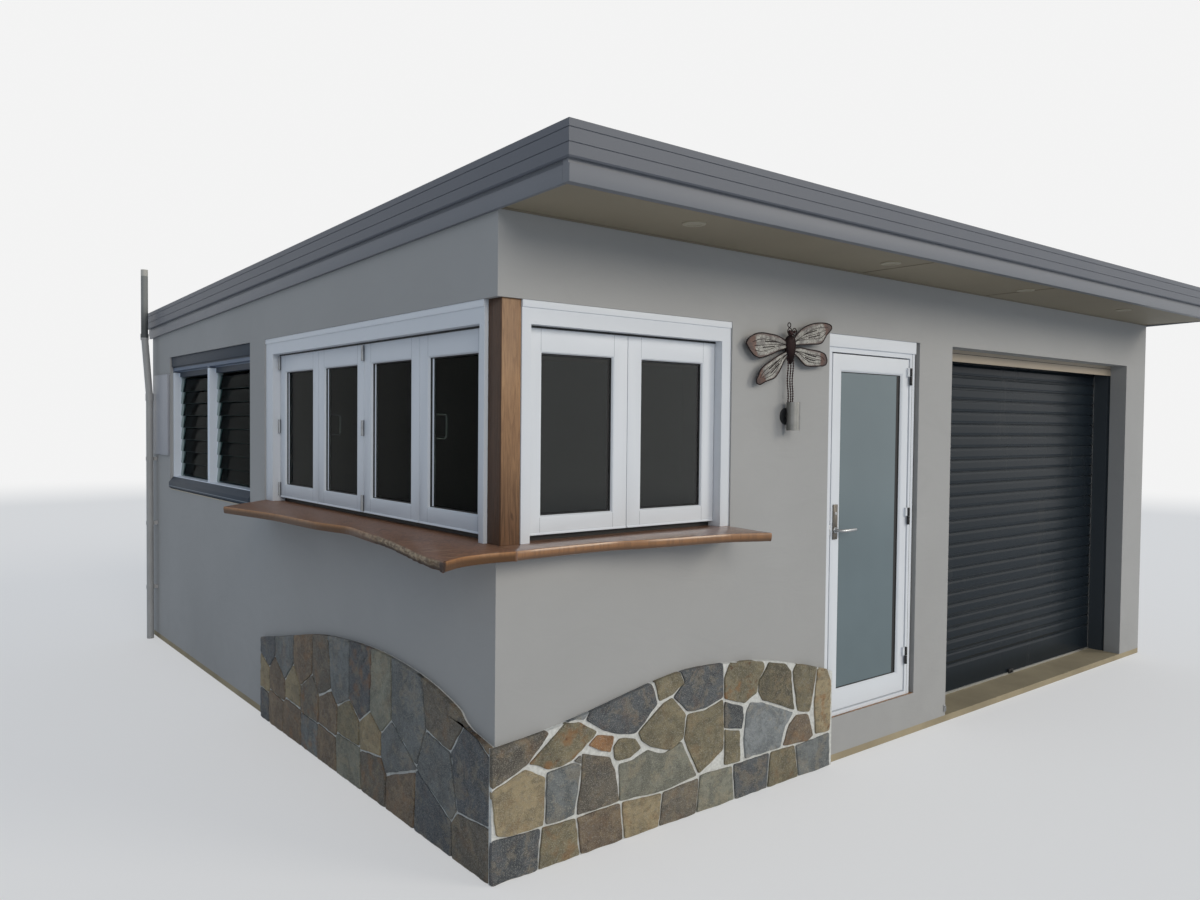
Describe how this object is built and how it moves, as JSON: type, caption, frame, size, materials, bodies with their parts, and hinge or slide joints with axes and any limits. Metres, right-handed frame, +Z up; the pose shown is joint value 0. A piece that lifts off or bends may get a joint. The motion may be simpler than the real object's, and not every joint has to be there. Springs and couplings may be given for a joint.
{
  "type": "garden office pod",
  "caption": "Rendered single-storey garden office pod with a falling flat roof, folding corner windows, timber counter, hinged entry door and roller garage door",
  "frame": {"origin": "middle of the walls' plan, on the underside of the slab", "axes": "+X along the front wall to the right, +Y from the front wall to the back, +Z up"},
  "size_m": [6.65, 6.065, 3.088],
  "materials": {
    "render": "fine trowelled cement render, painted warm grey",
    "concrete": "broomed concrete",
    "floor_timber": "plain sealed boards",
    "stone": "split slate and sandstone veneer",
    "roof_board": "insulated timber deck",
    "roof_metal": "satin painted steel sheet",
    "trim_metal": "satin mid grey paint",
    "fascia_board": "satin mid grey paint",
    "soffit_sheet": "flat fibre cement, painted greige",
    "lamp_trim": "white trim with a frosted lens",
    "post_timber": "dark stained hardwood",
    "counter_timber": "oiled live-edge hardwood",
    "white_frame": "white powder-coated aluminium",
    "window_glass": "clear float glass",
    "door_glass": "frosted grey-green laminated glass",
    "louvre_metal": "grey powder-coated aluminium",
    "louvre_plastic": "grey-green clips",
    "steel": "brushed stainless steel",
    "roller_steel": "dark grey baked enamel",
    "rail_metal": "mill finish",
    "head_board": "cream paint",
    "copper": "aged copper sheet and black wire",
    "pipe_plastic": "painted plastic pipe",
    "board_plastic": "plain white board"
  },
  "bodies": {
    "building": {"front_wall_under_window": "render", "front_wall_piers": "render", "front_wall_top": "render", "side_wall_lower": "render", "side_wall_piers": "render", "side_wall_top": "render", "back_wall": "render", "right_wall": "render", "base_slab": "concrete", "office_floor": "floor_timber", "plinth_front": "stone", "plinth_side": "stone", "roof_deck": "roof_board", "roof_sheet": "roof_metal", "front_capping": "trim_metal", "side_cappings": "trim_metal", "back_gutter": "trim_metal", "downpipe": "trim_metal", "front_fascia": "fascia_board", "side_fascias": "fascia_board", "back_fascia": "fascia_board", "soffit": "soffit_sheet", "downlights": "lamp_trim", "corner_post": "post_timber", "counter_side": "counter_timber", "counter_front": "counter_timber", "side_window_frame": "white_frame", "side_window_leaves": "white_frame", "front_window_frame": "white_frame", "front_window_leaves": "white_frame", "door_frame": "white_frame", "side_window_glass": "window_glass", "front_window_glass": "window_glass", "louvre_blades": "window_glass", "louvre_frame": "louvre_metal", "louvre_clips": "louvre_plastic", "frame_hinges": "steel", "window_hinges": "steel", "wall_light": "steel", "roller_curtain": "roller_steel", "roller_guides": "roller_steel", "roller_drum": "roller_steel", "roller_bottom_rail": "rail_metal", "roller_head_board": "head_board", "dragonfly_ornament": "copper", "vent_pipe": "pipe_plastic", "notice_board": "board_plastic"},
    "door": {"door_leaf": "white_frame", "door_glass": "door_glass", "door_plates": "steel", "leaf_hinges": "steel"},
    "lever": {"door_lever": "steel"}
  },
  "joints": [
    {"name": "door_hinge", "type": "hinge", "parent": "building", "child": "door", "pos_m": [-0.237, -2.709, 1.2], "axis": [0, 0, 1], "range_deg": [0, 95]},
    {"name": "lever_turn", "type": "hinge", "parent": "door", "child": "lever", "pos_m": [-0.93, -2.703, 1.275], "axis": [0, 1, 0], "range_deg": [0, 40], "stiffness_Nm_per_rad": 1.2, "springref_deg": -34.38}
  ]
}
